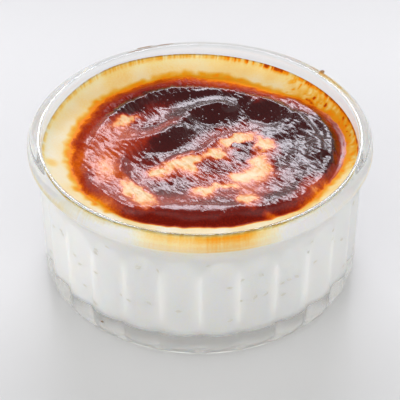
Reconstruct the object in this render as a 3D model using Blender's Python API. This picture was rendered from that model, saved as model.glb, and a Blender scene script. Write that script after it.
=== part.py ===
# Baked rice pudding in a round ribbed glass ramekin.
# Metres, +Z up. The origin is the middle of the underside, and -Y is the front.

import math

import bmesh
import bpy
from mathutils import Vector

MM = 0.001
MERGE_DISTANCE = 0.01 * MM

# Ramekin, overall
RIM_RADIUS = 51.0 * MM
DISH_HEIGHT = 46.8 * MM
FLOOR_THICKNESS = 5.6 * MM

# Ramekin, thick lip: its top falls a little outwards, and its edges are rounded
RIM_INNER_RADIUS = 46.8 * MM
RIM_UNDER_HEIGHT = 45.0 * MM
RIM_OUTER_HEIGHT = 45.4 * MM
RIM_OUTER_CORNER = 0.9 * MM
RIM_INNER_CORNER = 0.8 * MM

# Ramekin, outside
FOOT_CORNER_RADIUS = 4.6 * MM
GROOVE_FOOT_RADIUS = 46.9 * MM
GROOVE_TOP_RADIUS = 47.1 * MM
FLARE_OUT_START = 33.0 * MM
FLARE_OUT_END = 41.3 * MM
FLARE_OUT_RADIUS = 49.1 * MM

# Ribs that stand out from the wall, with a groove between two ribs facing -Y.
# The grooves run out above the foot, whose edge is a plain round.
RIB_COUNT = 26
RIB_DEPTH = 1.2 * MM
GROOVE_RUNOUT_LOW = 0.8 * MM
GROOVE_RUNOUT_HIGH = 3.6 * MM
RIB_ARCH_START = 31.7 * MM
RIB_ARCH_HEIGHT = 4.5 * MM
RIB_STEPS = 6

# Ramekin, inside
CAVITY_CORNER_RADIUS = 4.0 * MM
CAVITY_FOOT_RADIUS = 43.6 * MM
CAVITY_WALL_RADIUS = 44.7 * MM
FLARE_IN_START = 36.0 * MM
FLARE_IN_END = 42.5 * MM

# Pudding
FIT_GAP = 0.3 * MM
PUDDING_SEGMENTS = 84
SKIN_CENTRE_X = 2.6 * MM
SKIN_CENTRE_Y = 1.2 * MM
SKIN_RADIUS = 39.6 * MM
SKIN_EDGE_HEIGHT = 39.2 * MM
SKIN_CREST_RISE = 1.3 * MM
SKIN_CREST_INSET = 5.5 * MM
SKIN_SAG = 0.9 * MM
RIPPLE_HEIGHT = 0.2 * MM
RIPPLE_LENGTH = 16.0 * MM
RIPPLE_SWAY_LENGTH = 25.0 * MM
SKIN_RINGS = 12
CREAM_RINGS = 4
FILM_HEIGHT = 42.0 * MM
FILM_CLIMB = 1.3 * MM
FILM_CLIMB_DIRECTION = math.radians(110.0)
FILM_CLING = 0.6
FILM_CLING_POWER = 4

# Folds of the sagging skin: both ends, crest height and half width, in millimetres
SKIN_FOLDS = (
    {"ends": ((11, 30), (-2, 24)), "height": 1.0, "width": 3.0},
    {"ends": ((-2, 24), (-15, 9)), "height": 1.2, "width": 3.4},
    {"ends": ((10, 9), (-9, -4)), "height": 0.9, "width": 3.0},
    {"ends": ((33, 4), (20, -20)), "height": 0.7, "width": 4.5},
    {"ends": ((-27, -2), (-10, -24)), "height": 0.8, "width": 3.6},
    {"ends": ((4, -14), (22, -6)), "height": 0.5, "width": 3.2},
)


def ease(value):
    """Smooth step from 0 to 1."""
    clamped = min(1.0, max(0.0, value))
    return clamped * clamped * (3.0 - 2.0 * clamped)


def arc(centre, radius, start_degrees, end_degrees, steps):
    """Points of an arc in the profile plane, as (radius, height) pairs."""
    points = []
    for step in range(steps + 1):
        angle = math.radians(start_degrees + (end_degrees - start_degrees) * step / steps)
        points.append((centre[0] + radius * math.cos(angle), centre[1] + radius * math.sin(angle)))
    return points


def groove_radius(height):
    """Outer radius of the dish at the bottom of a groove."""
    wall = (height - FOOT_CORNER_RADIUS) / (FLARE_OUT_START - FOOT_CORNER_RADIUS)
    radius = GROOVE_FOOT_RADIUS + (GROOVE_TOP_RADIUS - GROOVE_FOOT_RADIUS) * min(1.0, wall)
    flare = max(0.0, height - FLARE_OUT_START) / (FLARE_OUT_END - FLARE_OUT_START)
    return radius + (FLARE_OUT_RADIUS - GROOVE_TOP_RADIUS) * flare * flare


def rib_swell(angle, height):
    """How far a rib stands out of the groove radius at an angle round the dish."""
    place = ((angle + math.pi / 2) * RIB_COUNT / math.tau) % 1.0
    across = 2.0 * place - 1.0
    along = max(0.0, height - RIB_ARCH_START) / RIB_ARCH_HEIGHT
    runout = (height - GROOVE_RUNOUT_LOW) / (GROOVE_RUNOUT_HIGH - GROOVE_RUNOUT_LOW)
    return RIB_DEPTH * max(0.0, 1.0 - across * across * ease(runout) - along * along)


def cavity_radius(height):
    """Inner radius of the dish above the rounded inner corner."""
    foot = FLOOR_THICKNESS + CAVITY_CORNER_RADIUS
    wall = min(1.0, (height - foot) / (FLARE_IN_START - foot))
    radius = CAVITY_FOOT_RADIUS + (CAVITY_WALL_RADIUS - CAVITY_FOOT_RADIUS) * wall
    flare = ease((height - FLARE_IN_START) / (FLARE_IN_END - FLARE_IN_START))
    return radius + (RIM_INNER_RADIUS - CAVITY_WALL_RADIUS) * flare


def spun_mesh(name, profile, segments):
    """Spin an open (radius, height) profile round Z into a closed bmesh."""
    shape = bmesh.new()
    verts = [shape.verts.new((0.0, -radius, height)) for radius, height in profile]
    for lower, upper in zip(verts, verts[1:]):
        shape.edges.new((lower, upper))
    bmesh.ops.spin(
        shape,
        geom=list(shape.verts) + list(shape.edges),
        cent=(0.0, 0.0, 0.0),
        axis=(0.0, 0.0, 1.0),
        angle=math.tau,
        steps=segments,
        use_merge=True,
    )
    bmesh.ops.remove_doubles(shape, verts=list(shape.verts), dist=MERGE_DISTANCE)
    bmesh.ops.recalc_face_normals(shape, faces=list(shape.faces))
    return shape


def finish(name, shape, material, sharp_degrees):
    """Turn a bmesh into a named, smooth-shaded object with its material."""
    bmesh.ops.recalc_face_normals(shape, faces=list(shape.faces))
    mesh = bpy.data.meshes.new(name)
    shape.to_mesh(mesh)
    shape.free()
    mesh.shade_smooth()
    mesh.set_sharp_from_angle(angle=math.radians(sharp_degrees))
    mesh.materials.append(material)
    thing = bpy.data.objects.new(name, mesh)
    bpy.context.scene.collection.objects.link(thing)
    return thing


def make_material(name, colour, roughness, metallic=0.0, transmission=0.0, ior=1.5):
    """A Principled material with the piece's own colour and finish."""
    material = bpy.data.materials.new(name)
    material.use_nodes = True
    shader = material.node_tree.nodes["Principled BSDF"]
    shader.inputs["Base Color"].default_value = (*colour, 1.0)
    shader.inputs["Roughness"].default_value = roughness
    shader.inputs["Metallic"].default_value = metallic
    shader.inputs["Transmission Weight"].default_value = transmission
    shader.inputs["IOR"].default_value = ior
    return material


def ramekin_profile():
    """Outline of the glass, from the middle of the underside to the middle of the inner floor."""
    corner = (GROOVE_FOOT_RADIUS - FOOT_CORNER_RADIUS, FOOT_CORNER_RADIUS)
    points = [(0.0, 0.0)]
    points += arc(corner, FOOT_CORNER_RADIUS, -90.0, 0.0, 4)
    arch_shares = (0.0, 0.4, 0.7, 0.9, 1.0)
    for share in arch_shares:
        height = RIB_ARCH_START + RIB_ARCH_HEIGHT * share
        points.append((groove_radius(height), height))
    band_top = RIB_ARCH_START + RIB_ARCH_HEIGHT
    for share in (0.5, 1.0):
        height = band_top + (FLARE_OUT_END - band_top) * share
        points.append((groove_radius(height), height))
    lip = RIM_RADIUS - RIM_OUTER_CORNER
    points += arc((lip, RIM_UNDER_HEIGHT), RIM_OUTER_CORNER, -65.0, 0.0, 2)
    points += arc((lip, RIM_OUTER_HEIGHT), RIM_OUTER_CORNER, 0.0, 80.0, 2)
    lip_inner = (RIM_INNER_RADIUS + RIM_INNER_CORNER, DISH_HEIGHT - RIM_INNER_CORNER)
    points += arc(lip_inner, RIM_INNER_CORNER, 90.0, 180.0, 3)
    flare_steps = 4
    for step in range(flare_steps + 1):
        height = FLARE_IN_END - (FLARE_IN_END - FLARE_IN_START) * step / flare_steps
        points.append((cavity_radius(height), height))
    inner_corner = (CAVITY_FOOT_RADIUS - CAVITY_CORNER_RADIUS, FLOOR_THICKNESS + CAVITY_CORNER_RADIUS)
    points += arc(inner_corner, CAVITY_CORNER_RADIUS, 0.0, -90.0, 3)
    points.append((0.0, FLOOR_THICKNESS))
    return points


def build_ramekin():
    """Clear glass dish: a spun wall whose outside is pushed out into ribs."""
    shape = spun_mesh("ramekin", ramekin_profile(), RIB_COUNT * RIB_STEPS)
    middle_of_wall = 0.5 * (CAVITY_WALL_RADIUS + GROOVE_FOOT_RADIUS)
    band_height = 0.5 * (RIB_ARCH_START + RIB_ARCH_HEIGHT + FLARE_OUT_END)
    for vert in shape.verts:
        radius = math.hypot(vert.co.x, vert.co.y)
        is_foot = vert.co.z < 0.5 * FLOOR_THICKNESS
        is_wall = radius > middle_of_wall and vert.co.z < band_height
        if radius > 0.0 and (is_foot or is_wall):
            swell = rib_swell(math.atan2(vert.co.y, vert.co.x), vert.co.z)
            vert.co.x *= 1.0 + swell / radius
            vert.co.y *= 1.0 + swell / radius
    glass = make_material("clear_glass", (0.95, 0.97, 0.97), 0.02, transmission=1.0)
    return finish("ramekin", shape, glass, 35.0)


def skin_edge_radius(angle):
    """Distance from the dish's axis to the edge of the browned skin."""
    direction = Vector((math.cos(angle), math.sin(angle)))
    centre = Vector((SKIN_CENTRE_X, SKIN_CENTRE_Y))
    along = centre.dot(direction)
    aside = centre.cross(direction)
    return along + math.sqrt(SKIN_RADIUS * SKIN_RADIUS - aside * aside)


def film_top(angle):
    """Height that the dried milk film reaches up the glass."""
    towards = 0.5 + 0.5 * math.cos(angle - FILM_CLIMB_DIRECTION)
    return FILM_HEIGHT + FILM_CLIMB * towards * towards


def fold_height(x, y):
    """Relief of the skin's folds at a place on its surface."""
    place = Vector((x, y)) / MM
    tallest = 0.0
    for fold in SKIN_FOLDS:
        start = Vector(fold["ends"][0])
        run = Vector(fold["ends"][1]) - start
        share = min(1.0, max(0.0, (place - start).dot(run) / run.length_squared))
        distance = (place - start - run * share).length
        tallest = max(tallest, fold["height"] * math.exp(-((distance / fold["width"]) ** 2)))
    return tallest * MM


def skin_height(x, y, edge):
    """Height of the browned skin inside its edge."""
    inset = edge - math.hypot(x, y)
    crest = SKIN_CREST_RISE * ease(inset / SKIN_CREST_INSET)
    sag = SKIN_SAG * ease((inset - SKIN_CREST_INSET) / (2.0 * SKIN_CREST_INSET))
    sway = math.sin(math.tau * y / RIPPLE_SWAY_LENGTH)
    ripple = RIPPLE_HEIGHT * math.sin(math.tau * x / RIPPLE_LENGTH + sway)
    relief = (fold_height(x, y) + ripple) * ease(inset / SKIN_CREST_INSET)
    return SKIN_EDGE_HEIGHT + crest - sag + relief


def pudding_profile():
    """Straight outline of the pudding, before its top takes its shape."""
    corner_radius = CAVITY_CORNER_RADIUS - FIT_GAP
    corner = (CAVITY_FOOT_RADIUS - CAVITY_CORNER_RADIUS, FLOOR_THICKNESS + CAVITY_CORNER_RADIUS)
    points = [(0.0, FLOOR_THICKNESS + FIT_GAP)]
    points += arc(corner, corner_radius, -90.0, 0.0, 3)
    for height in (FLARE_IN_START, 0.5 * (FLARE_IN_START + FILM_HEIGHT)):
        points.append((cavity_radius(height) - FIT_GAP, height))
    wall = cavity_radius(FILM_HEIGHT) - FIT_GAP
    for ring in range(CREAM_RINGS + SKIN_RINGS + 1):
        share = 1.0 - ring / (CREAM_RINGS + SKIN_RINGS)
        points.append((wall * share, FILM_HEIGHT))
    return points


def shape_top(vert, wall):
    """Move one vertex of the flat top onto the cream ring or the skin."""
    angle = math.atan2(vert.co.y, vert.co.x)
    radius = math.hypot(vert.co.x, vert.co.y)
    edge = skin_edge_radius(angle)
    ring = (1.0 - radius / wall) * (CREAM_RINGS + SKIN_RINGS)
    if ring > CREAM_RINGS - 0.5:
        radius = edge * radius / wall * (CREAM_RINGS + SKIN_RINGS) / SKIN_RINGS
        height = skin_height(radius * math.cos(angle), radius * math.sin(angle), edge)
    else:
        out = 1.0 - ring / CREAM_RINGS
        climb = (1.0 - FILM_CLING) * out + FILM_CLING * out ** FILM_CLING_POWER
        height = SKIN_EDGE_HEIGHT + (film_top(angle) - SKIN_EDGE_HEIGHT) * climb
        lip = cavity_radius(film_top(angle)) - FIT_GAP
        radius = edge + (lip - edge) * out
    vert.co = Vector((radius * math.cos(angle), radius * math.sin(angle), height))


def build_pudding():
    """Rice pudding: a body that fills the dish, with a cream ring and a folded skin on top."""
    shape = spun_mesh("pudding", pudding_profile(), PUDDING_SEGMENTS)
    wall = cavity_radius(FILM_HEIGHT) - FIT_GAP
    for vert in shape.verts:
        if vert.co.z > FILM_HEIGHT - MERGE_DISTANCE:
            shape_top(vert, wall)
    cream = make_material("rice_pudding", (0.86, 0.80, 0.68), 0.45)
    return finish("pudding", shape, cream, 60.0)


def main():
    for old in list(bpy.data.objects):
        bpy.data.objects.remove(old, do_unlink=True)
    build_ramekin()
    build_pudding()


main()
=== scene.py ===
import math
import random

import bmesh
import bpy
import numpy
from mathutils import Matrix, Vector, noise


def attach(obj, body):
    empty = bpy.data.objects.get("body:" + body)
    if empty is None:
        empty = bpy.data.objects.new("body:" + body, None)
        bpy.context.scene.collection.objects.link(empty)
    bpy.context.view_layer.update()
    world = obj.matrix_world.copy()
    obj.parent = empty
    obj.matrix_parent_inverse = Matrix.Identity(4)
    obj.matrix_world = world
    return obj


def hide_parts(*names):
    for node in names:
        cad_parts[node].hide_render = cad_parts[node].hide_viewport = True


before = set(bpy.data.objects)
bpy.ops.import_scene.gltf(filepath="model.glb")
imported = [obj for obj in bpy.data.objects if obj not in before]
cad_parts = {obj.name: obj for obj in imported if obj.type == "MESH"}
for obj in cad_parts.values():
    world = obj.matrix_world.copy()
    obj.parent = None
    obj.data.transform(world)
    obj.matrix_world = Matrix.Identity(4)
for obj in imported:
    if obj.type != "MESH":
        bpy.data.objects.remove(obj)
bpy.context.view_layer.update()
mm = 0.001
front = -math.pi / 2  # azimuth of the side nearest the camera


# Small helpers

def ease(value, start=0.0, reach=1.0):  # smooth step from 0 to 1, for numbers and arrays
    clamped = numpy.clip((value - start) / reach, 0.0, 1.0)
    return clamped * clamped * (3.0 - 2.0 * clamped)


def blend(low, high, share):
    return low + (high - low) * share


def shares(steps):  # even shares up to 1, the start left out
    return [step / steps for step in range(1, steps + 1)]


def arc(centre, radius, startDegrees, endDegrees, steps):  # profile points as (radius, height)
    points = []
    for share in [0.0] + shares(steps):
        angle = math.radians(blend(startDegrees, endDegrees, share))
        points.append((centre[0] + radius * math.cos(angle), centre[1] + radius * math.sin(angle)))
    return points


def line(start, end, steps):  # points between two profile points, the start left out
    return [(blend(start[0], end[0], share), blend(start[1], end[1], share)) for share in shares(steps)]


def spinProfile(profile, sectors, sectorSteps):  # an open profile turned round Z from the front
    shell = bmesh.new()
    points = [shell.verts.new((0.0, -radius, height)) for radius, height in profile]
    for lower, upper in zip(points, points[1:]):
        shell.edges.new((lower, upper))
    bmesh.ops.spin(shell, geom=shell.verts[:] + shell.edges[:], cent=(0, 0, 0), axis=(0, 0, 1),
                   angle=math.tau / sectors, steps=sectorSteps)
    bmesh.ops.spin(shell, geom=shell.verts[:] + shell.edges[:] + shell.faces[:], cent=(0, 0, 0),
                   axis=(0, 0, 1), angle=math.tau * (sectors - 1) / sectors, steps=sectors - 1,
                   use_duplicate=True)
    bmesh.ops.remove_doubles(shell, verts=shell.verts[:], dist=0.001)
    bmesh.ops.recalc_face_normals(shell, faces=shell.faces[:])
    return shell


def addObject(name, data):
    item = bpy.data.objects.new(name, data)
    bpy.context.scene.collection.objects.link(item)
    return item


def addMesh(name, shell, material):
    mesh = bpy.data.meshes.new(name)
    shell.to_mesh(mesh)
    shell.free()
    mesh.materials.append(material)
    return addObject(name, mesh)


def finishPiece(name, shell, material, replacedNode=None):
    bmesh.ops.scale(shell, vec=(mm, mm, mm), verts=shell.verts[:])
    piece = addMesh(name, shell, material)
    piece.data.shade_smooth()
    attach(piece, "root")
    if replacedNode:
        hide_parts(replacedNode)
    print(name, "has", len(piece.data.polygons), "faces")
    return piece


def hexColour(code):  # sRGB hex to Blender's linear colour
    channels = []
    for start in (1, 3, 5):
        value = int(code[start:start + 2], 16) / 255
        channels.append(value / 12.92 if value <= 0.04045 else ((value + 0.055) / 1.055) ** 2.4)
    return (*channels, 1.0)


def newMaterial(name):
    material = bpy.data.materials.new(name)
    material.use_nodes = True
    tree = material.node_tree
    return material, tree, tree.nodes["Principled BSDF"]


def setInputs(tree, node, inputs):  # inputs are values or links for the node's sockets
    for name, value in inputs.items():
        if isinstance(value, bpy.types.NodeSocket):
            tree.links.new(value, node.inputs[name])
        else:
            node.inputs[name].default_value = value


def addNode(tree, kind, settings=None, inputs=None):  # settings are the node's own attributes
    node = tree.nodes.new("ShaderNode" + kind)
    for name, value in (settings or {}).items():
        setattr(node, name, value)
    setInputs(tree, node, inputs or {})
    return node


def addTexture(tree, kind, size, **more):  # its pattern has this size in mm
    place = addNode(tree, "TexCoord").outputs["Object"]
    return addNode(tree, kind, inputs={"Vector": place, "Scale": 1.0 / (size * mm), **more})


def combine(tree, operation, *values):
    return addNode(tree, "Math", {"operation": operation}, dict(enumerate(values))).outputs[0]


def remap(tree, value, change, smooth=False):  # change is (from low, from high, to low, to high)
    places = dict(zip(("From Min", "From Max", "To Min", "To Max"), change))
    kind = "SMOOTHSTEP" if smooth else "LINEAR"
    return addNode(tree, "MapRange", {"interpolation_type": kind}, {"Value": value, **places}).outputs[0]


def addSpots(tree, spacing, share, channel, change, smooth=False):  # that share of the cells has one
    cell = addTexture(tree, "TexVoronoi", spacing)
    chance = addNode(tree, "SeparateColor", inputs={"Color": cell.outputs["Color"]}).outputs[channel]
    chosen = combine(tree, "GREATER_THAN", chance, 1.0 - share)
    return combine(tree, "MULTIPLY", remap(tree, cell.outputs["Distance"], change, smooth), chosen)


def addRamp(tree, value, stops):  # stops are (place, hex colour)
    node = addNode(tree, "ValToRGB", inputs={"Fac": value})
    elements = node.color_ramp.elements
    while len(elements) > 1:
        elements.remove(elements[-1])
    elements[0].position, elements[0].color = stops[0][0], hexColour(stops[0][1])
    for place, code in stops[1:]:
        elements.new(place).color = hexColour(code)
    return node.outputs["Color"]


def mottledMaterial(name, look):  # soft patches in two shades
    material, tree, shader = newMaterial(name)
    mottle = addTexture(tree, "TexNoise", look["mottleSize"]).outputs["Fac"]
    setInputs(tree, shader, {"Base Color": addRamp(tree, mottle, look["ramp"]),
                             "Roughness": look["roughness"], "IOR": look["ior"]})
    return material


# The glass dish

dish = {
    "rimRadius": 51.0, "height": 46.8, "rimInnerRadius": 46.8, "floorThickness": 5.6,
    "rimUnderHeight": 43.8, "rimOuterHeight": 44.2,  # where the lip turns under and over
    "rimUnderCorner": 0.9, "rimOuterCorner": 2.4, "rimInnerCorner": 0.8,
    "rimUnderStart": -29.0, "rimFall": 11.0,  # degrees: start of the corner underneath, slope of the top
    "footCorner": 4.6, "grooveFootRadius": 46.9, "grooveTopRadius": 47.1,
    "flareOutStart": 33.0, "flareOutEnd": 41.3, "flareOutRadius": 49.1,
    "ribs": 26, "ribDepth": 1.2, "runoutLow": 0.9, "runoutHigh": 3.4,
    "archStart": 31.7, "archHeight": 4.5,
    "cavityCorner": 4.0, "cavityFootRadius": 43.6, "cavityWallRadius": 44.7,
    "flareInStart": 36.0, "flareInEnd": 42.5,
    "stepsPerRib": 22,
    "glassColour": "#FEFFFE", "ior": 1.5,
    "waveLength": 9.0, "waveDepth": 0.05,  # the slow waviness that pressing leaves, mm
    "steps": {  # how finely each stretch of the profile is cut
        "underside": 6, "foot": 16, "wall": 10, "arch": 14, "band": 7, "rimUnder": 6, "rimOuter": 14,
        "rimTop": 5, "rimInner": 9, "flareIn": 12, "cavityWall": 8, "cavityCorner": 9,
        "cavityFloor": 5},
}


def grooveRadius(height):
    wall = (height - dish["footCorner"]) / (dish["flareOutStart"] - dish["footCorner"])
    radius = blend(dish["grooveFootRadius"], dish["grooveTopRadius"], min(1.0, wall))
    flare = max(0.0, height - dish["flareOutStart"]) / (dish["flareOutEnd"] - dish["flareOutStart"])
    return radius + (dish["flareOutRadius"] - dish["grooveTopRadius"]) * flare * flare


def ribSwell(angle, height):  # how far the glass stands out of the groove line
    place = ((angle - front) * dish["ribs"] / math.tau) % 1.0
    across = 2.0 * place - 1.0
    along = max(0.0, height - dish["archStart"]) / dish["archHeight"]
    runout = (height - dish["runoutLow"]) / (dish["runoutHigh"] - dish["runoutLow"])
    return dish["ribDepth"] * max(0.0, 1.0 - across * across * float(ease(runout)) - along * along)


def cornerCentre():  # of the rounded corner where the inner wall meets the floor
    return dish["cavityFootRadius"] - dish["cavityCorner"], dish["floorThickness"] + dish["cavityCorner"]


def cavityRadius(height):  # for numbers and arrays
    foot = cornerCentre()[1]
    wall = numpy.minimum(1.0, (height - foot) / (dish["flareInStart"] - foot))
    radius = blend(dish["cavityFootRadius"], dish["cavityWallRadius"], wall)
    flare = ease(height, dish["flareInStart"], dish["flareInEnd"] - dish["flareInStart"])
    return blend(radius, dish["rimInnerRadius"], flare)


def outsideProfile():  # from the middle of the underside to the groove's top below the lip
    steps = dish["steps"]
    footCentre = (dish["grooveFootRadius"] - dish["footCorner"], dish["footCorner"])
    points = [(0.0, 0.0)] + line((0.0, 0.0), (footCentre[0], 0.0), steps["underside"])
    points += arc(footCentre, dish["footCorner"], -90.0, 0.0, steps["foot"])[1:]
    bandTop = dish["archStart"] + dish["archHeight"]
    heights = [blend(dish["footCorner"], dish["archStart"], share)
               for share in shares(steps["wall"])]
    heights += [dish["archStart"] + dish["archHeight"] * math.sin(math.pi / 2 * share)
                for share in shares(steps["arch"])]
    heights += [blend(bandTop, dish["flareOutEnd"], share) for share in shares(steps["band"])]
    return points + [(grooveRadius(height), height) for height in heights]


def lipProfile():
    steps = dish["steps"]
    under, outer, inner = dish["rimUnderCorner"], dish["rimOuterCorner"], dish["rimInnerCorner"]
    topEnd = 90.0 - dish["rimFall"]
    points = arc((dish["rimRadius"] - under, dish["rimUnderHeight"]), under, dish["rimUnderStart"], 0.0,
                 steps["rimUnder"])
    points += arc((dish["rimRadius"] - outer, dish["rimOuterHeight"]), outer, 0.0, topEnd,
                  steps["rimOuter"])
    innerCorner = arc((dish["rimInnerRadius"] + inner, dish["height"] - inner), inner, topEnd, 180.0,
                      steps["rimInner"])
    return points + line(points[-1], innerCorner[0], steps["rimTop"]) + innerCorner[1:]


def insideProfile():  # from below the lip to the middle of the floor
    steps = dish["steps"]
    heights = [blend(dish["flareInEnd"], dish["flareInStart"], share)
               for share in [0.0] + shares(steps["flareIn"])]
    points = [(cavityRadius(height), height) for height in heights]
    corner = cornerCentre()
    wallTop = (dish["cavityWallRadius"], dish["flareInStart"])
    points += line(wallTop, (dish["cavityFootRadius"], corner[1]), steps["cavityWall"])
    points += arc(corner, dish["cavityCorner"], 0.0, -90.0, steps["cavityCorner"])[1:]
    floorEdge = (corner[0], dish["floorThickness"])
    return points + line(floorEdge, (0.0, dish["floorThickness"]), steps["cavityFloor"])


def pressedGlass():
    # Pressed soda-lime glass, fire polished: clear and bright, with a slow wave in its reflections
    material, tree, shader = newMaterial("pressedGlass")
    wave = addTexture(tree, "TexNoise", dish["waveLength"], Detail=1.0).outputs["Fac"]
    bump = addNode(tree, "Bump", inputs={"Height": wave, "Distance": dish["waveDepth"] * mm})
    setInputs(tree, shader, {
        "Base Color": hexColour(dish["glassColour"]), "Transmission Weight": 1.0,
        "IOR": dish["ior"], "Roughness": 0.0, "Normal": bump.outputs["Normal"]})
    return material


def makeDish():
    profile = outsideProfile() + lipProfile() + insideProfile()
    shell = spinProfile(profile, dish["ribs"], dish["stepsPerRib"])
    middleOfWall = 0.5 * (dish["cavityWallRadius"] + dish["grooveFootRadius"])
    middleOfBand = 0.5 * (dish["archStart"] + dish["archHeight"] + dish["flareOutEnd"])
    for vert in shell.verts:  # the ribs swell out of the foot and the outer wall
        radius = math.hypot(vert.co.x, vert.co.y)
        isFoot = vert.co.z < 0.5 * dish["floorThickness"] and radius > 0.5 * middleOfWall
        isWall = radius > middleOfWall and vert.co.z < middleOfBand
        if isFoot or isWall:
            swell = 1.0 + ribSwell(math.atan2(vert.co.y, vert.co.x), vert.co.z) / radius
            vert.co.x *= swell
            vert.co.y *= swell
    finishPiece("ramekinGlass", shell, pressedGlass(), "ramekin")


# The pudding and its baked skin, in mm and degrees

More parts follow.
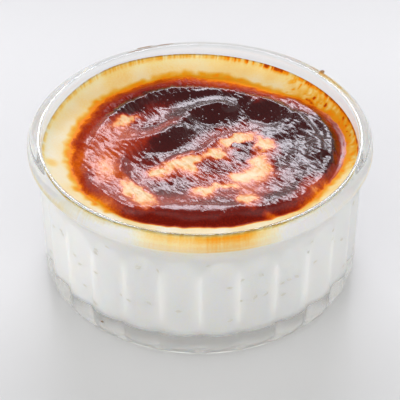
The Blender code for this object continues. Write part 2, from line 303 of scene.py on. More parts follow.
pudding = {
    "reach": 0.15,  # how far it goes into the glass, so that no air shows between them
    "sectors": (24, 30),  # sectors round the dish, steps in each
    "thinning": ((20.0, 2), (10.0, 4), (5.0, 8)),  # inside this radius only every so many steps are kept
    "skinRings": 126, "creamRings": 14, "floorSteps": 8, "cornerSteps": 8,
    "sideRows": 18, "rowCrowding": 0.75,  # below 1 the rows crowd towards the top
    # direction and radius of the skin's edge
    "skinEdge": ((1, 43.5), (18, 44.0), (32, 43.2), (45, 41.2), (57, 39.9), (81, 39.9), (97, 41.1),
                 (116, 40.4), (129, 40.3), (140, 40.3), (157, 39.0), (180, 38.6), (207, 38.5),
                 (223, 38.4), (242, 36.8), (270, 35.1), (288, 35.9), (307, 37.8), (316, 39.2),
                 (335, 39.6), (345, 41.4)),
    "skinEdgeHeight": 39.2, "edgeCircle": 40.0,  # the circle along which the edge's wander is taken
    "crestRise": 1.5, "sag": 1.5, "sagReach": 15.0,
    # direction and width of the level ledge along the skin's edge
    "ledge": ((0, 1.2), (24, 1.2), (36, 0.0), (335, 0.0), (350, 0.8)),
    # direction and how far behind the ledge the crest stands
    "crestInset": ((10, 4.0), (40, 5.0), (198, 5.0), (212, 2.8), (238, 2.8), (254, 5.0), (300, 5.0),
                   (318, 2.6), (342, 2.2)),
    # direction and height that the dried milk film reaches on the glass
    "filmTop": ((2, 42.4), (28, 42.6), (48, 42.8), (68, 43.0), (89, 43.5), (110, 44.2), (124, 44.6),
                (134, 44.4), (147, 43.6), (163, 42.6), (180, 42.0), (215, 42.6), (236, 44.0),
                (250, 45.2), (290, 45.3), (303, 44.4), (320, 43.2), (340, 42.5)),
    "filmHeight": 42.0, "filmCling": 0.6, "filmClingPower": 4,
    # direction and width of the skin's dry, dull edge, below 0 where the gloss starts on the edge
    "mattWidth": ((0, -0.9), (24, -0.9), (34, 0.6), (48, 5.0), (70, 8.0), (110, 8.2), (135, 7.6),
                  (158, 5.0), (185, 3.4), (212, 0.8), (236, 0.5), (250, 2.2), (290, 2.2), (318, 0.5),
                  (345, 0.0)),
    "mattFade": 1.5, "mattFrayFrom": 2.0,  # how softly the gloss sets in, width that frays it fully
    "foldRise": 3.0,  # how far behind the ledge the folds have their full height
    "foldSharpness": 1.5,
    "slopeLean": 0.09, "slopeSoftness": 0.5, "shelfLean": 0.14, "shelfSoftness": 0.6,
    "leanReach": 1.25,  # in half lengths of a slope or a shelf
    "wrinkle": {  # fine wrinkles of the drying skin
        "turn": -58.0, "along": 2.6, "across": 0.85, "height": 0.20, "strength": 0.8,
        "start": 0.8, "rise": 2.0,  # inset where they begin, and how far on they are whole
        "smoothShare": 0.08,  # what is left of them on the smooth slopes
        "smoothReach": 0.6, "smoothSoftness": 0.45, "smoothFray": 0.2,
    },
    # soft unevenness of shape and colour, each a sum of noises: strength, length in mm, seed
    "unevenness": {
        "edge": ((0.35, 5.0, 2), (0.3, 2.2, 19)), "swell": ((0.22, 8.0, 5), (0.07, 2.6, 9)),
        "wrinkleBend": ((0.5, 4.0, 21),), "wrinkle": ((1.0, 1.0, 22), (0.5, 0.55, 23)),
        "wrinkleStrength": ((0.6, 6.0, 24),), "slopeEdge": ((0.15, 3.0, 25),),
        "stainAcross": ((0.9, 2.6, 3), (0.35, 0.9, 8)), "stainAlong": ((0.9, 2.6, 13), (0.35, 0.9, 18)),
        "stainBreaks": ((0.25, 0.9, 33),), "broadBrownEdge": ((1.0, 5.0, 34),),
        "brownEdge": ((0.3, 1.3, 31), (0.35, 0.7, 32), (0.6, 2.0, 35)), "mattEdge": ((0.8, 3.0, 26),),
        "creamCloud": ((0.04, 5.0, 7),), "crumble": ((1.0, 1.3, 41), (0.8, 0.6, 42)),
        "orangeEdge": ((0.8, 1.7, 16),), "orangeStrength": ((0.25, 1.8, 6),),
        "filmStreak": ((1.0, 0.3, 4), (0.6, 1.3, 14)),
    },
    "noiseGrid": {"size": 64, "turn": 0.6, "offset": (1000.37, 1000.71)},  # keeps places above 0
    # parts of the ring: direction, cosine where it begins, cosine where it is whole
    "sides": {
        "back": (90.0, 0.2, 0.5), "backRight": (74.0, 0.76, 0.96), "right": (2.0, 0.88, 0.97),
        "front": (-84.27, 0.6, 0.9),
        "crumblyCream": (18.0, 0.79, 0.97), "narrowOrange": (50.0, 0.9, 0.98),
        "bareFilm": (325.0, 0.88, 0.96), "burntFilm": (66.0, 0.96, 0.99),
        "amber": (-87.71, 0.88, 0.985), "deepAmber": (-81.41, 0.97, 0.997),
        "deepestAmber": (-80.83, 0.986, 0.9995),
    },
    # from the skin's edge inwards: distances, and browning from 0, cream, to 1, nearly black
    "edgeBrowning": {
        "left": ((0.0, 0.8, 1.8, 5.0, 7.0), (0.32, 0.42, 0.53, 0.64, 0.92)),
        "back": ((0.0, 1.0, 2.4, 7.0, 9.5), (0.33, 0.43, 0.56, 0.66, 0.92)),
        "backRight": ((0.0, 3.0, 4.6, 6.5, 9.0, 11.0), (0.27, 0.34, 0.44, 0.55, 0.66, 0.92)),
        "right": ((0.0, 0.6, 1.5, 2.8, 3.8), (0.46, 0.54, 0.60, 0.66, 0.92)),
        "front": ((0.0, 0.5, 4.0, 6.5), (0.54, 0.66, 0.74, 0.90)),
    },
    "staining": {
        "broadEdgeFrom": 2.0,  # inset from which the broad unevenness of the edge is whole
        "deepStart": 1.5, "deepReach": 3.0,  # stains fade in behind the skin's edge
        "paleBelow": 0.5, "paleShare": 0.9,  # pale ones keep this share up to the edge itself
        "creamBelow": 0.3,  # below this the cream shows through, with an orange edge round it
        "edgeBrowning": 0.41, "edgeShare": 0.7, "edgeGrowth": 1.1, "edgeWidth": 1.4,
        "edgeShift": (-0.3, 0.8), "edgeReach": 1.5, "edgeSoftness": 0.9,
        "creamSoftness": 0.2, "creamWarp": 0.5, "creamBreaks": 0.12,
    },
    "cream": {  # the cream between the skin and the glass
        "browning": 0.07, "warmSide": 40.0, "warmth": 0.045,  # a little browner towards one direction
        "crumbly": (0.13, 0.09),  # browning of its crumbly part, and how much that changes
        "crumb": 0.52, "crumbFrom": 0.75, "crumbSoftness": 0.3,
        "spot": ((-43.7, -6.6), (1.9, 2.0), 0.0),  # a browner place: middle, half lengths, turn
        "spotBrowning": 0.10, "spotReach": 1.6, "spotSoftness": 1.3,
        "line": 0.29, "crumblyLine": 0.2, "lineFrom": 0.84, "lineSoftness": 0.08,  # along the film's top
        "lineStreaks": (0.6, 0.5), "lineWarmth": (0.45, 0.55), "burntLine": 0.5, "burntStreaks": 0.4,
        "orange": 0.32, "orangeSpread": 2.4, "orangeNarrowing": 0.8, "orangeSoftness": 2.2,
        "orangeStrength": 0.85,
        "streakCircle": 45.0, "streakStretch": 0.05,  # streaks run down the film
    },
    "amber": {  # browned milk between the pudding and the front wall
        "bottom": 42.5, "softness": 0.6, "fray": 0.15,
        "streaks": (0.88, 0.14), "streakLimits": (0.5, 1.1),
        "browning": 0.17, "deeper": 0.07, "deepest": 0.08,
        "hazeBottom": 36.0, "hazeReach": 6.0, "haze": 0.03,
    },
    "paintedMilkGlow": {  # painted glow, emission standing in for light that has wandered through the milk to the glass
        "side": 0.072, "sideReach": 5.0,  # it fades in above the floor
        # painted light on the flanks, more on the left
        "flank": 0.12, "leftExtra": 0.04, "flankFrom": 0.35, "flankSoftness": 0.5,
        "flankTop": 35.0, "flankFade": 4.0,
        # painted highlight along each groove line
        "groove": 0.19, "grooveWidth": 0.17,
        "grooveBottom": 8.0, "grooveTop": 33.0, "grooveFade": (4.0, 5.0),
        "under": 0.126, "underBright": 0.665, "underDepth": 0.3,  # painted light on the underside, brighter in the middle and outside
        "innerRadius": 12.0, "innerFade": 4.0, "outerRadius": 27.0, "outerFade": 3.0, "outerShare": 0.33,
        # painted glow on the amber band
        "amber": 0.3,
    },
    "finish": {  # sizes in mm, changes as (from low, from high, to low, to high)
        "browningRamp": (  # browning and its colour
            (0.00, "#FDFCFA"), (0.05, "#F7EACD"), (0.12, "#F6D995"), (0.20, "#F4BD52"),
            (0.27, "#F0A31C"), (0.34, "#FB8A05"), (0.42, "#D25A08"), (0.54, "#A42E0C"),
            (0.66, "#78190E"), (0.80, "#481110"), (1.00, "#2E0B0C")),
        "bakedCream": "#F0D0B4", "bakedCreamShare": 0.6,  # cream that shows through the skin
        "grainSize": 0.45, "grainStrength": 0.26, "grainByBrowning": (0.2, 0.6, 0.25, 1.0),
        "holeSpacing": 1.1, "holeShare": 0.25,  # dark pinholes where the skin has burst
        "holeByDistance": (0.08, 0.3, 0.5, 0.0), "paleByBrowning": (0.15, 0.45, 1.0, 0.0),
        "roughnessByBrowning": (0.2, 0.7, 0.38, 0.10), "shineBySkin": (0.0, 1.0, 0.03, 0.5), "ior": 1.46,
        "milkByBrowning": (0.06, 0.22, 0.9, 0.0), "milkDepth": 3.0, "milkSpread": (1.0, 0.85, 0.7),
        "creaseAcross": 0.5, "creaseAlong": 1.6, "creaseTurn": -58.0, "creaseDepth": 0.08,
        "creaseDetail": 2.5, "creaseRoughness": 0.55, "creaseDistortion": 0.8,
        "blisterSpacing": 1.0, "blisterShare": 0.2, "blisterDepth": 0.08,
        "blisterByDistance": (0.1, 0.4, 1.0, 0.0),
    },
}


# Folds of the skin, drawn from left to right: crest points, height, and reach behind and in front
folds = (
    (((-31.0, 7.1), (-27.6, 15.0), (-22.5, 21.8), (-15.6, 27.4), (-8.8, 30.6), (0.0, 30.7),
      (8.8, 29.4), (19.8, 24.4), (26.2, 20.3), (30.5, 15.3), (33.8, 9.0), (35.3, 3.9),
      (35.6, -2.0)), 1.2, 1.8, 4.4),
    (((29.4, 24.8), (32.8, 21.3), (35.8, 17.0), (38.5, 10.7), (40.3, 2.9), (40.8, -6.2)), 0.7, 2.4, 2.6),
    (((-20.9, 3.7), (-16.3, 5.1), (-10.9, 7.3), (-6.5, 13.0), (-3.2, 18.8), (-0.3, 20.5),
      (5.1, 22.4)), 1.9, 5.6, 5.6),
    (((5.1, 22.4), (8.2, 26.4), (10.8, 29.4)), 0.9, 2.4, 2.0),
    (((-9.5, -5.9), (-7.7, -3.6), (-4.4, -2.4), (-0.7, -1.3), (1.8, 1.1), (3.7, 4.3),
      (6.8, 7.1), (9.0, 8.1)), 0.8, 1.8, 5.0),
    (((-23.2, -11.9), (-22.9, -6.0), (-22.0, -1.4), (-21.1, 3.2)), 1.2, 1.8, 2.2),
    (((-28.0, -21.0), (-25.0, -25.0), (-22.0, -28.5)), 0.7, 1.8, 1.4),
    (((-18.6, -27.9), (-8.0, -29.6), (1.1, -30.0), (11.9, -27.9), (23.6, -24.1), (30.4, -19.8)),
     0.35, 5.0, 3.6),
    (((20.0, -16.0), (27.0, -8.0), (30.0, 2.0), (28.0, 10.0)), 0.5, 4.5, 4.5),
)

# Smooth slopes that lean to the near side, without wrinkles: middle, half lengths, turn
slopes = (
    ((-3.0, 25.4), (12.0, 3.8), 8),
    ((4.3, 18.2), (8.0, 5.2), 0),
    ((21.2, 19.4), (6.8, 5.4), -38),
    ((-9.2, 5.0), (8.8, 5.2), 27),
    ((33.5, 12.0), (8.0, 2.4), -64),
    ((0.0, -32.0), (26.0, 5.5), 0),
)

# Shelves that lie level in the sag and catch the light: middle, half lengths, turn
shelves = (
    ((9.8, 24.6), (2.8, 5.0), -20),
    ((-16.0, 10.5), (6.0, 2.6), 30),
)

# Places where the skin is browner or paler: middle, half lengths, turn, browning, edge softness
stains = (
    # broad zones
    ((-29.0, -8.0), (17.0, 10.0), -80, 0.50, 0.5),
    ((-14.0, -24.0), (17.0, 9.0), -30, 0.57, 0.5),
    ((4.0, -33.0), (28.0, 6.0), 0, 0.70, 0.5),
    ((2.0, -13.0), (24.0, 13.0), 0, 0.58, 0.6),
    ((-24.0, 6.0), (9.0, 9.0), 30, 0.50, 0.5),
    ((8.0, 8.0), (12.0, 5.0), 30, 0.62, 0.5),
    ((-14.0, 18.0), (9.0, 5.0), 45, 0.68, 0.6),
    ((-13.0, 9.0), (11.0, 2.5), 42, 0.58, 0.6),
    ((14.4, -18.7), (4.4, 2.6), 0, 0.48, 0.8),
    ((-29.5, -24.2), (2.8, 1.3), -40, 0.22, 0.7),
    ((-32.8, -15.1), (4.6, 2.5), 87, 0.62, 0.5),
    ((-35.6, -5.7), (5.0, 1.6), -86, 0.42, 0.6),
    ((-8.6, -17.3), (6.4, 4.8), 0, 0.74, 0.5),
    ((-20.6, -9.6), (6.5, 2.4), -80, 0.64, 0.4),
    ((-16.8, -28.0), (4.2, 2.5), 0, 0.50, 0.7),
    # cream showing through
    ((-27.4, -8.9), (5.4, 3.0), -86, 0.36, 0.9),
    ((-23.0, 14.6), (3.6, 1.6), 45, 0.14, 0.6),
    ((-18.3, -20.8), (6.3, 2.2), -53, 0.10, 0.7),
    ((11.2, 6.0), (4.7, 1.5), 35, 0.12, 0.7),
    ((9.0, 4.1), (2.1, 1.2), 34, 0.11, 0.7),
    ((19.2, 3.8), (3.5, 2.6), -44, 0.15, 0.5),
    ((3.9, -1.5), (2.8, 2.0), 0, 0.11, 0.7),
    ((-2.1, -5.6), (3.2, 1.6), 90, 0.10, 0.7),
    ((-5.2, -5.3), (4.8, 2.0), 20, 0.09, 0.7),
    ((-11.9, -9.8), (3.3, 1.6), 0, 0.10, 0.7),
    ((17.3, -5.6), (4.1, 2.2), 87, 0.12, 0.8),
    ((16.0, -11.0), (4.1, 2.6), 0, 0.12, 0.8),
    ((12.2, -11.5), (3.0, 1.8), 0, 0.10, 0.7),
    ((0.6, -19.0), (2.4, 2.0), 0, 0.11, 0.7),
    ((7.0, -16.6), (4.1, 1.3), 9, 0.12, 0.7),
    ((13.5, -23.7), (2.4, 2.1), 59, 0.12, 0.7),
    ((20.4, -31.1), (1.9, 1.6), -36, 0.38, 0.7),
    # dark islands among the cream
    ((5.0, -7.9), (5.2, 3.4), 0, 0.68, 0.4),
    ((7.5, -20.3), (3.7, 1.9), 0, 0.60, 0.5),
    ((12.3, 3.0), (3.3, 1.2), 10, 0.78, 0.4),
    ((12.4, -3.8), (1.4, 1.1), 0, 0.78, 0.5),
    ((-19.8, 13.6), (3.0, 1.5), 60, 0.62, 0.4),
)


def tableValue(name, angle):  # a width or height that changes round the dish
    places = [place for place, value in pudding[name]]
    values = [value for place, value in pudding[name]]
    return numpy.interp(numpy.degrees(angle) % 360.0, places, values, period=360.0)


def onSide(angle, name):  # 1 on that part of the ring, 0 elsewhere
    direction, begins, whole = pudding["sides"][name]
    return ease(numpy.cos(angle - math.radians(direction)), begins, whole - begins)


def ovalDistance(x, y, middle, half, turn):  # 0 in the middle of a turned oval, 1 on its edge
    cosine, sine = math.cos(math.radians(turn)), math.sin(math.radians(turn))
    along = ((x - middle[0]) * cosine + (y - middle[1]) * sine) / half[0]
    aside = ((y - middle[1]) * cosine - (x - middle[0]) * sine) / half[1]
    return numpy.hypot(along, aside)


def uneven(x, y, name):  # soft noise over a plane, one value a place
    total, grid = 0.0, pudding["noiseGrid"]
    size = grid["size"]
    for strength, length, seed in pudding["unevenness"][name]:
        table = numpy.random.default_rng(seed).uniform(-1.0, 1.0, (size, size))
        turn = grid["turn"] + seed  # each noise has its own grid direction
        across = (x * math.cos(turn) - y * math.sin(turn)) / length + grid["offset"][0]
        along = (x * math.sin(turn) + y * math.cos(turn)) / length + grid["offset"][1]
        column, row = numpy.floor(across).astype(int), numpy.floor(along).astype(int)
        shareX, shareY = ease(across - column), ease(along - row)
        nextColumn, nextRow = (column + 1) % size, (row + 1) % size
        column, row = column % size, row % size
        near = blend(table[column, row], table[nextColumn, row], shareX)
        far = blend(table[column, nextRow], table[nextColumn, nextRow], shareX)
        total += strength * blend(near, far, shareY)
    return total


def wrinkles(x, y):
    wrinkle = pudding["wrinkle"]
    turn = math.radians(wrinkle["turn"])
    along = (x * math.cos(turn) + y * math.sin(turn)) / wrinkle["along"]
    across = (y * math.cos(turn) - x * math.sin(turn)) / wrinkle["across"] + uneven(x, y, "wrinkleBend")
    ridges = uneven(along, across, "wrinkle")
    strength = wrinkle["strength"] + uneven(x, y, "wrinkleStrength")
    fray = wrinkle["smoothFray"] * ridges + uneven(x, y, "slopeEdge")
    for slope in slopes:
        beyond = ovalDistance(x, y, *slope) + fray - wrinkle["smoothReach"]
        strength *= blend(wrinkle["smoothShare"], 1.0, ease(beyond / wrinkle["smoothSoftness"]))
    return wrinkle["height"] * ridges * strength


def foldRelief(x, y):
    tall = numpy.zeros_like(x)
    for crest, fullHeight, reachBehind, reachBefore in folds:
        nearest = numpy.full_like(x, 1e9)
        behind = numpy.zeros_like(x)
        for start, end in zip(crest, crest[1:]):
            runX, runY = end[0] - start[0], end[1] - start[1]
            along = (x - start[0]) * runX + (y - start[1]) * runY
            share = numpy.clip(along / (runX ** 2 + runY ** 2), 0.0, 1.0)
            offX, offY = x - start[0] - runX * share, y - start[1] - runY * share
            distance = numpy.hypot(offX, offY)
            closer = distance < nearest
            behind = numpy.where(closer, runX * offY - runY * offX > 0, behind)
            nearest = numpy.where(closer, distance, nearest)
        width = numpy.where(behind, reachBehind, reachBefore)
        tall += (fullHeight * numpy.exp(-(nearest / width) ** pudding["foldSharpness"])) ** 3
    return numpy.cbrt(tall)  # adding the cubes keeps the higher of two folds where they meet


def skinHeight(x, y, angle, inset):
    wrinkle = pudding["wrinkle"]
    behindLedge = inset - tableValue("ledge", angle)
    crestInset = tableValue("crestInset", angle)
    crest = pudding["crestRise"] * ease(behindLedge / crestInset)
    sag = pudding["sag"] * ease(behindLedge, crestInset, pudding["sagReach"])
    relief = uneven(x, y, "swell")
    for ovals, lean, softness in ((slopes, pudding["slopeLean"], pudding["slopeSoftness"]),
                                  (shelves, -pudding["shelfLean"], pudding["shelfSoftness"])):
        for middle, half, turn in ovals:
            inside = pudding["leanReach"] - ovalDistance(x, y, middle, half, turn)
            relief += lean * (y - middle[1]) * ease(inside / softness)
    relief *= ease(behindLedge / crestInset)
    relief += foldRelief(x, y) * ease(behindLedge / pudding["foldRise"])
    relief += wrinkles(x, y) * ease(inset, wrinkle["start"], wrinkle["rise"])
    return pudding["skinEdgeHeight"] + crest - sag + relief


def skinBrowning(x, y, angle, inset):
    staining, edgeBrowning = pudding["staining"], pudding["edgeBrowning"]
    ragged = inset + uneven(x, y, "brownEdge")
    ragged += uneven(x, y, "broadBrownEdge") * ease(inset / staining["broadEdgeFrom"])
    level = numpy.interp(ragged, *edgeBrowning["left"])
    for side in ("back", "backRight", "right", "front"):
        distance = inset if side == "front" else ragged  # the front edge is crisp
        level = blend(level, numpy.interp(distance, *edgeBrowning[side]), onSide(angle, side))
    warpX = uneven(x, y, "stainAcross")
    warpY = uneven(x, y, "stainAlong")
    deep = ease(inset, staining["deepStart"], staining["deepReach"])
    for middle, half, turn, value, soft in stains:
        placeX, placeY = x + warpX, y + warpY
        share = numpy.maximum(deep, staining["paleShare"] if value < staining["paleBelow"] else 0.0)
        breaks = 0.0
        if value < staining["creamBelow"]:
            grown = [length * staining["edgeGrowth"] + staining["edgeWidth"] for length in half]
            shiftX, shiftY = staining["edgeShift"]
            distance = ovalDistance(placeX + shiftX, placeY + shiftY, middle, grown, turn)
            orangeEdge = ease(staining["edgeReach"], distance, staining["edgeSoftness"])
            paler = numpy.minimum(level, staining["edgeBrowning"])
            level = blend(level, paler, staining["edgeShare"] * orangeEdge * share)
            soft += staining["creamSoftness"]
            placeX += staining["creamWarp"] * warpX
            placeY += staining["creamWarp"] * warpY
            breaks = staining["creamBreaks"] + uneven(x, y, "stainBreaks")
        inside = 1.0 + soft - breaks - ovalDistance(placeX, placeY, middle, half, turn)
        level = blend(level, value, ease(inside / (2.0 * soft)) * share)
    return level


def creamBrowning(x, y, angle, inset, out, streaks):
    cream = pudding["cream"]
    warm = 0.5 + 0.5 * numpy.cos(angle - math.radians(cream["warmSide"]))
    crumblySide = onSide(angle, "crumblyCream")
    crumble = uneven(x, y, "crumble")
    spot = cream["spotReach"] - ovalDistance(x, y, *cream["spot"])
    level = cream["browning"] + cream["warmth"] * warm + uneven(x, y, "creamCloud")
    level += crumblySide * (cream["crumbly"][0] + cream["crumbly"][1] * crumble)
    level += cream["spotBrowning"] * ease(spot / cream["spotSoftness"])

    topLine = ease(out, cream["lineFrom"], cream["lineSoftness"])
    topLine *= (1.0 - onSide(angle, "bareFilm"))
    streaky = numpy.clip(cream["lineStreaks"][0] + cream["lineStreaks"][1] * streaks, 0.0, 1.0)
    streaky *= (cream["lineWarmth"][0] + cream["lineWarmth"][1] * warm)
    level = blend(level, cream["line"] + cream["crumblyLine"] * crumblySide, topLine * streaky)
    isCrumb = ease(crumble, cream["crumbFrom"], cream["crumbSoftness"])
    level = blend(level, cream["crumb"], crumblySide * isCrumb)
    burnt = numpy.clip(cream["burntStreaks"] + streaks, 0.0, 1.0) * onSide(angle, "burntFilm")
    level = blend(level, cream["burntLine"], topLine * burnt)

    spread = cream["orangeSpread"] - cream["orangeNarrowing"] * onSide(angle, "narrowOrange")
    orange = ease((inset + spread + uneven(x, y, "orangeEdge")) / cream["orangeSoftness"])
    orange *= (cream["orangeStrength"] + uneven(x, y, "orangeStrength"))
    return blend(level, cream["orange"], orange * (1.0 - onSide(angle, "front")))


def amberBand(angle, height, streaks):  # how much of the browned milk shows at each place of the side
    amber = pudding["amber"]
    edge = ease((height - amber["bottom"] + amber["fray"] * streaks) / amber["softness"])
    streaky = numpy.clip(amber["streaks"][0] + amber["streaks"][1] * streaks, *amber["streakLimits"])
    return edge * onSide(angle, "amber") * streaky


def sideBrowning(angle, height, band):
    amber = pudding["amber"]
    haze = ease(height, amber["hazeBottom"], amber["hazeReach"]) * onSide(angle, "amber")
    level = amber["browning"] + amber["deeper"] * onSide(angle, "deepAmber")
    return amber["haze"] * haze + band * (level + amber["deepest"] * onSide(angle, "deepestAmber"))


# painted light: emission on the pudding's sides and underside, standing in for light carried through the
# milk
def paintedSideGlow(angle, radius, height, band):
    floor, paintedGlow = dish["floorThickness"], pudding["paintedMilkGlow"]
    # painted light on the flanks, more on the left
    flank = paintedGlow["flank"] - paintedGlow["leftExtra"] * numpy.cos(angle)
    flank *= ease(abs(numpy.cos(angle)), paintedGlow["flankFrom"], paintedGlow["flankSoftness"])
    flank *= (1.0 - ease(height, paintedGlow["flankTop"], paintedGlow["flankFade"]))
    side = (paintedGlow["side"] + flank) * ease(height, floor, paintedGlow["sideReach"])
    # painted highlight along each groove line
    groove = numpy.abs((((angle - front) * dish["ribs"] / math.tau + 0.5) % 1.0) - 0.5)
    groove = numpy.exp(-(groove / paintedGlow["grooveWidth"]) ** 2)
    groove *= ease(height, paintedGlow["grooveBottom"], paintedGlow["grooveFade"][0])
    groove *= ease(paintedGlow["grooveTop"], height, paintedGlow["grooveFade"][1])
    # painted light on the underside, brighter in the middle and outside
    inner = 1.0 - ease(radius, paintedGlow["innerRadius"], paintedGlow["innerFade"])
    outer = paintedGlow["outerShare"] * ease(radius, paintedGlow["outerRadius"], paintedGlow["outerFade"])
    under = blend(paintedGlow["under"], paintedGlow["underBright"], numpy.maximum(inner, outer))
    under *= ease(floor + paintedGlow["underDepth"], height, paintedGlow["underDepth"])
    return side + paintedGlow["groove"] * groove + under + paintedGlow["amber"] * band


def puddingProfile():
    reach, corner = pudding["reach"], cornerCentre()
    floor = dish["floorThickness"] - reach
    points = [(0.0, floor)] + line((0.0, floor), (corner[0], floor), pudding["floorSteps"])
    points += arc(corner, dish["cavityCorner"] + reach, -90.0, 0.0, pudding["cornerSteps"])[1:]
    top = pudding["filmHeight"]
    for share in shares(pudding["sideRows"]):
        height = blend(corner[1], top, share ** pudding["rowCrowding"])
        points.append((cavityRadius(height) + reach, height))
    wall = points[-1][0]
    rings = pudding["creamRings"] + pudding["skinRings"]
    return points + [(wall * (1.0 - share), top) for share in shares(rings)]


def shapePudding(mesh):  # the flat top takes its form, and every place its browning, gloss and painted glow
    places = numpy.empty(len(mesh.vertices) * 3, numpy.float32)
    mesh.vertices.foreach_get("co", places)
    places = places.reshape(-1, 3).astype(float) / mm
    radius = numpy.hypot(places[:, 0], places[:, 1])
    angle = numpy.arctan2(places[:, 1], places[:, 0])
    height = places[:, 2]
    level, skinEdgeHeight = pudding["filmHeight"], pudding["skinEdgeHeight"]
    isTop = height > level - 0.001

    # rings of the flat top: the skin inside its uneven edge, the cream from there up to the film's top
    creamRings, reach = pudding["creamRings"], pudding["reach"]
    rings = creamRings + pudding["skinRings"]
    wall = cavityRadius(level) + reach
    ring = (1.0 - radius / wall) * rings
    isSkin = ring > creamRings - 0.5
    out = numpy.clip(1.0 - ring / creamRings, 0.0, 1.0)
    circle = pudding["edgeCircle"]
    wander = uneven(circle * numpy.cos(angle), circle * numpy.sin(angle), "edge")
    edge = tableValue("skinEdge", angle) + wander
    filmTop = tableValue("filmTop", angle)
    lip = cavityRadius(filmTop) + reach
    skinRadius = edge * radius / wall * rings / pudding["skinRings"]
    topRadius = numpy.where(isSkin, skinRadius, edge + (lip - edge) * out)
    sideTop = ease(height, dish["flareInStart"], level - dish["flareInStart"])
    sideHeight = height + (filmTop - level) * sideTop
    sideRadius = numpy.where(sideTop > 0.0, cavityRadius(sideHeight) + reach, radius)
    radius = numpy.where(isTop, topRadius, sideRadius)
    x, y = radius * numpy.cos(angle), radius * numpy.sin(angle)
    inset = edge - radius

    climb = blend(out, out ** pudding["filmClingPower"], pudding["filmCling"])
    creamHeight = skinEdgeHeight + (filmTop - skinEdgeHeight) * climb
    topHeight = numpy.where(isSkin, skinHeight(x, y, angle, inset), creamHeight)
    height = numpy.where(isTop, topHeight, sideHeight)

    cream = pudding["cream"]
    streakX, streakY = angle * cream["streakCircle"], height * cream["streakStretch"]
    streaks = uneven(streakX, streakY, "filmStreak")
    band = amberBand(angle, height, streaks)
    browning = numpy.where(isSkin, skinBrowning(x, y, angle, inset),
                           creamBrowning(x, y, angle, inset, out, streaks))
    browning = numpy.where(isTop, browning, sideBrowning(angle, height, band))
    matt = tableValue("mattWidth", angle)
    frayed = inset - matt + uneven(x, y, "mattEdge") * ease(matt / pudding["mattFrayFrom"])
    gloss = numpy.where(isTop & isSkin, ease(frayed / pudding["mattFade"]), 0.0)
    # painted glow on the sides and underside, none on the top
    paintedGlow = numpy.where(isTop, 0.0, paintedSideGlow(angle, radius, height, band))

    places = numpy.stack((x, y, height), axis=1) * mm
    mesh.vertices.foreach_set("co", places.astype(numpy.float32).ravel())
    for name, values in (("browning", browning), ("skin", gloss), ("paintedGlow", paintedGlow)):
        attribute = mesh.attributes.new(name, "FLOAT", "POINT")
        attribute.data.foreach_set("value", values.astype(numpy.float32))
    mesh.update()


def bakedPudding():
    # Milk pudding browned under a grill: matt cream, amber at the edges, and a glossy wrinkled dark
    # skin, with a painted glow on its sides and underside
    material, tree, shader = newMaterial("bakedPudding")
    finish = pudding["finish"]
    level, skin, paintedGlow = [addNode(tree, "Attribute", {"attribute_name": name}).outputs["Fac"]
                         for name in ("browning", "skin", "paintedGlow")]

    # colour: browning with fine grain, and pinholes in the pale parts of the skin
    grain = addTexture(tree, "TexNoise", finish["grainSize"], Detail=2.0).outputs["Fac"]
    grainShare = combine(tree, "MULTIPLY_ADD", grain, finish["grainStrength"],
                         -0.5 * finish["grainStrength"])
    brownShare = remap(tree, level, finish["grainByBrowning"])
    grainy = combine(tree, "MULTIPLY_ADD", grainShare, brownShare, level)
    holes = addSpots(tree, finish["holeSpacing"], finish["holeShare"], "Green", finish["holeByDistance"])
    paleSkin = combine(tree, "MULTIPLY", remap(tree, level, finish["paleByBrowning"]), skin)
    speckled = combine(tree, "MULTIPLY_ADD", holes, paleSkin, grainy)
    browned = addRamp(tree, speckled, finish["browningRamp"])
    creamShare = combine(tree, "MULTIPLY", paleSkin, finish["bakedCreamShare"])
    baked = addNode(tree, "MixRGB", inputs={
        "Fac": creamShare, "Color1": browned, "Color2": hexColour(finish["bakedCream"])})

    # fine relief: creases of the skin and small blisters
    along, across = finish["creaseAlong"] * mm, finish["creaseAcross"] * mm
    creasePlace = addNode(tree, "Mapping", {"vector_type": "TEXTURE"}, {
        "Vector": addNode(tree, "TexCoord").outputs["Object"], "Scale": (along, across, along),
        "Rotation": (0.0, 0.0, math.radians(finish["creaseTurn"]))})
    crease = addNode(tree, "TexNoise", inputs={
        "Vector": creasePlace.outputs[0], "Scale": 1.0, "Detail": finish["creaseDetail"],
        "Roughness": finish["creaseRoughness"], "Distortion": finish["creaseDistortion"]})
    creased = combine(tree, "MULTIPLY", crease.outputs["Fac"], skin)
    creaseBump = addNode(tree, "Bump", inputs={
        "Height": creased, "Distance": finish["creaseDepth"] * mm})
    blisters = addSpots(tree, finish["blisterSpacing"], finish["blisterShare"], "Red",
                        finish["blisterByDistance"], smooth=True)
    onBrown = combine(tree, "MULTIPLY", blisters, brownShare)
    blisterBump = addNode(tree, "Bump", inputs={
        "Height": onBrown, "Distance": finish["blisterDepth"] * mm,
        "Normal": creaseBump.outputs["Normal"]})

    setInputs(tree, shader, {
        "Base Color": baked.outputs["Color"], "Normal": blisterBump.outputs["Normal"],
        # sugary and smooth where it is dark, and shiny on the skin alone
        "Roughness": remap(tree, level, finish["roughnessByBrowning"]),
        "Specular IOR Level": remap(tree, skin, finish["shineBySkin"]), "IOR": finish["ior"],
        # light inside the milk, and a painted glow on the sides and underside
        "Subsurface Weight": remap(tree, level, finish["milkByBrowning"]),
        "Subsurface Radius": finish["milkSpread"], "Subsurface Scale": finish["milkDepth"] * mm,
        "Emission Strength": paintedGlow, "Emission Color": browned})
    return material


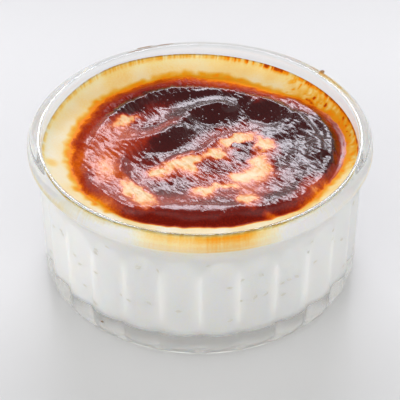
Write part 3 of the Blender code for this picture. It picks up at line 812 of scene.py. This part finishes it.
def thinMiddle(shell):  # takes out steps near the axis, where they crowd together
    count = math.prod(pudding["sectors"])
    for limit, every in pudding["thinning"]:
        spare = []
        for edge in shell.edges:
            inner, outer = sorted(math.hypot(vert.co.x, vert.co.y) for vert in edge.verts)
            if outer < limit and outer - inner > 0.01:  # it runs outwards, not round
                place = max(edge.verts, key=lambda vert: math.hypot(vert.co.x, vert.co.y)).co
                number = round((math.atan2(place.y, place.x) - front) / math.tau * count)
                if number % every == every // 2:
                    spare.append(edge)
        bmesh.ops.dissolve_edges(shell, edges=spare, use_verts=True, use_face_split=False)


def makePudding():
    shell = spinProfile(puddingProfile(), *pudding["sectors"])
    thinMiddle(shell)
    piece = finishPiece("bakedPudding", shell, bakedPudding(), "pudding")
    shapePudding(piece.data)


# Rice against the glass

rice = {
    "count": 110, "seed": 11, "segments": 10, "rings": 6,
    "length": (3.6, 5.6), "width": 1.7, "bend": 0.05, "proud": 0.32,  # mm, proud of the milk
    "heights": (9.5, 35.0), "lean": 0.6,  # the spread of the lean, in radians
    "mottleSize": 1.5, "ramp": ((0.3, "#F6F3EA"), (0.7, "#FCFAF5")), "roughness": 0.35, "ior": 1.45,
}


def cookedRice():
    # Boiled rice grain: slightly clear and greyer than the milk round it
    return mottledMaterial("cookedRice", rice)


def makeRice():
    draw = random.Random(rice["seed"])
    shell = bmesh.new()
    for _ in range(rice["count"]):
        grain = bmesh.new()
        bmesh.ops.create_uvsphere(grain, u_segments=rice["segments"], v_segments=rice["rings"],
                                  radius=0.5)
        length = draw.uniform(*rice["length"])
        bmesh.ops.scale(grain, verts=grain.verts[:], vec=(length, rice["width"], rice["width"]))
        for vert in grain.verts:
            vert.co.y += rice["bend"] * vert.co.x ** 2
        height = draw.uniform(*rice["heights"])
        angle = draw.uniform(0.0, math.tau)
        lean = draw.gauss(0.0, rice["lean"])
        centre = cavityRadius(height) - 0.5 * rice["width"] + rice["proud"]
        turn = Matrix.Rotation(angle, 4, "Z") @ Matrix.Translation((centre, 0.0, height))
        turn = turn @ Matrix.Rotation(lean, 4, "X") @ Matrix.Rotation(math.pi / 2, 4, "Z")
        bmesh.ops.transform(grain, matrix=turn, verts=grain.verts[:])
        bmesh.ops.recalc_face_normals(grain, faces=grain.faces[:])
        loose = bpy.data.meshes.new("grain")
        grain.to_mesh(loose)
        grain.free()
        shell.from_mesh(loose)
        bpy.data.meshes.remove(loose)
    finishPiece("riceGrains", shell, cookedRice())


# Two burnt crumbs, and the thin brown streaks that the milk left on the lip

crumbs = {
    "lumps": (  # place, half sizes, turn
        ((38.2, 32.3, 46.5), (0.72, 0.48, 0.36), 0),
        ((-28.3, -38.2, 6.3), (0.54, 0.36, 0.27), 0),
        ((-20.4, 43.8, 46.66), (2.6, 0.22, 0.10), 25),
        ((-15.9, 45.7, 46.66), (2.2, 0.16, 0.10), 19),
        ((-11.2, 47.6, 46.60), (2.4, 0.20, 0.10), 13),
        ((-17.5, 46.2, 46.55), (3.0, 0.14, 0.10), 21),
    ),
    "subdivisions": 3, "lumpiness": 0.35, "lumpSize": 0.7,
    "lumpShift": 7.0,  # gives each one lumps of its own
    "mottleSize": 0.5, "ramp": ((0.35, "#6B3E1E"), (0.65, "#B98A55")), "roughness": 0.6, "ior": 1.5,
}


def toastedCrumb():
    # Dry toasted milk crumb: dull, ginger to dark brown
    return mottledMaterial("toastedCrumb", crumbs)


def makeCrumbs():
    shell = bmesh.new()
    for number, (place, half, turn) in enumerate(crumbs["lumps"]):
        made = bmesh.ops.create_icosphere(shell, subdivisions=crumbs["subdivisions"], radius=1.0)
        lump = made["verts"]
        shift = Vector((number * crumbs["lumpShift"], 0.0, 0.0))
        for vert in lump:
            swell = noise.noise(vert.co / crumbs["lumpSize"] + shift)
            vert.co *= 1.0 + crumbs["lumpiness"] * swell
        bmesh.ops.scale(shell, verts=lump, vec=half)
        bmesh.ops.rotate(shell, verts=lump, matrix=Matrix.Rotation(math.radians(turn), 3, "Z"))
        bmesh.ops.translate(shell, verts=lump, vec=place)
    bmesh.ops.recalc_face_normals(shell, faces=shell.faces[:])
    finishPiece("toastedCrumbs", shell, toastedCrumb())


# Floor, light and camera

studio = {
    "floorSize": 3.0, "floorDrop": 0.05,  # m, mm
    "floorColour": "#DDDDDD", "floorRoughness": (0.14, 0.18), "floorGloss": 0.05, "floorIor": 1.49,
    "dustScale": 6.0,
    # the sky is pale low down, greyer high up, a little brighter at both sides, and dark round one
    # direction, overhead and somewhat to the back
    "skyColour": "#FBFBFB", "lowStrength": 0.86, "highStrength": 0.76, "skyFade": (0.1, 0.8),
    "sideStrength": 1.05, "sideFade": (0.3, 1.0),
    "darkStrength": 0.22, "darkMiddle": (0.0, 0.40, 0.917), "darkFade": (0.85, 0.96),
}

softboxes = (  # name, place in metres, width, height, radiance, colour
    ("backSoftbox", (0.0, 2.10, 1.60), 1.5, 0.70, 10.5, "#F6F5FF"),
    ("frontSoftbox", (-0.3, -1.45, 0.7), 3.8, 1.5, 0.90, "#FFFFFF"),
)

cameraView = {  # metres, degrees and mm of lens
    "distance": 0.459, "lookHeight": 0.0204, "elevation": 38.46, "tilt": 38.40,
    "focalLength": 135.27, "sensor": 36.0,
}


def acrylicFloor():
    # White acrylic sheet: soft mirror image of what stands on it, faint dust haze
    material, tree, shader = newMaterial("acrylicFloor")
    dust = addNode(tree, "TexNoise", inputs={
        "Vector": addNode(tree, "TexCoord").outputs["Object"], "Scale": studio["dustScale"],
        "Detail": 1.0})
    setInputs(tree, shader, {
        "Roughness": remap(tree, dust.outputs["Fac"], (0.0, 1.0, *studio["floorRoughness"])),
        "Base Color": hexColour(studio["floorColour"]), "IOR": studio["floorIor"],
        "Specular IOR Level": studio["floorGloss"]})
    return material


def makeFloor():
    sheet = bmesh.new()
    bmesh.ops.create_grid(sheet, x_segments=4, y_segments=4, size=studio["floorSize"] / 2)
    bmesh.ops.translate(sheet, verts=sheet.verts[:], vec=(0, 0, -studio["floorDrop"] * mm))
    addMesh("studioFloor", sheet, acrylicFloor())
    print("studioFloor laid")


def makeSoftboxes():
    for name, place, width, height, radiance, colour in softboxes:
        lamp = bpy.data.lights.new(name, "AREA")
        lamp.shape = "RECTANGLE"
        lamp.size, lamp.size_y = width, height
        lamp.energy = radiance * math.pi * width * height
        lamp.color = hexColour(colour)[:3]
        box = addObject(name, lamp)
        box.location = place
        box.rotation_euler = (-Vector(place)).to_track_quat("-Z", "Y").to_euler()
        box.visible_camera = False
    print(len(softboxes), "softboxes hung")


def makeSky():
    world = bpy.data.worlds.new("paleStudio")
    world.use_nodes = True
    tree = world.node_tree
    direction = addNode(tree, "TexCoord").outputs["Generated"]
    nearness = addNode(tree, "VectorMath", {"operation": "DOT_PRODUCT"}, {
        0: direction, 1: studio["darkMiddle"]}).outputs["Value"]
    darkShare = studio["darkStrength"] / studio["highStrength"]
    dark = remap(tree, nearness, (*studio["darkFade"], 1.0, darkShare), smooth=True)
    parts = addNode(tree, "SeparateXYZ", inputs={"Vector": direction})
    upward = (*studio["skyFade"], studio["lowStrength"], studio["highStrength"])
    pale = remap(tree, parts.outputs["Z"], upward, smooth=True)
    sideways = combine(tree, "ABSOLUTE", parts.outputs["X"])
    bright = remap(tree, sideways, (*studio["sideFade"], 1.0, studio["sideStrength"]), smooth=True)
    strength = combine(tree, "MULTIPLY", combine(tree, "MULTIPLY", dark, pale), bright)
    setInputs(tree, tree.nodes["Background"], {
        "Color": hexColour(studio["skyColour"]), "Strength": strength})
    bpy.context.scene.world = world
    print("sky set")


def makeCamera():
    lens = bpy.data.cameras.new("photoCamera")
    lens.sensor_width = cameraView["sensor"]
    lens.lens = cameraView["focalLength"]
    lens.clip_start = 0.01
    camera = addObject("photoCamera", lens)
    elevation = math.radians(cameraView["elevation"])
    camera.location = (0.0, -cameraView["distance"] * math.cos(elevation),
                       cameraView["lookHeight"] + cameraView["distance"] * math.sin(elevation))
    camera.rotation_euler = (math.radians(90.0 - cameraView["tilt"]), 0.0, 0.0)
    bpy.context.scene.camera = camera
    print("camera placed")


makeDish()
makePudding()
makeRice()
makeCrumbs()
makeFloor()
makeSoftboxes()
makeSky()
makeCamera()
bpy.context.scene.view_settings.view_transform = "Standard"

print("all pieces made")
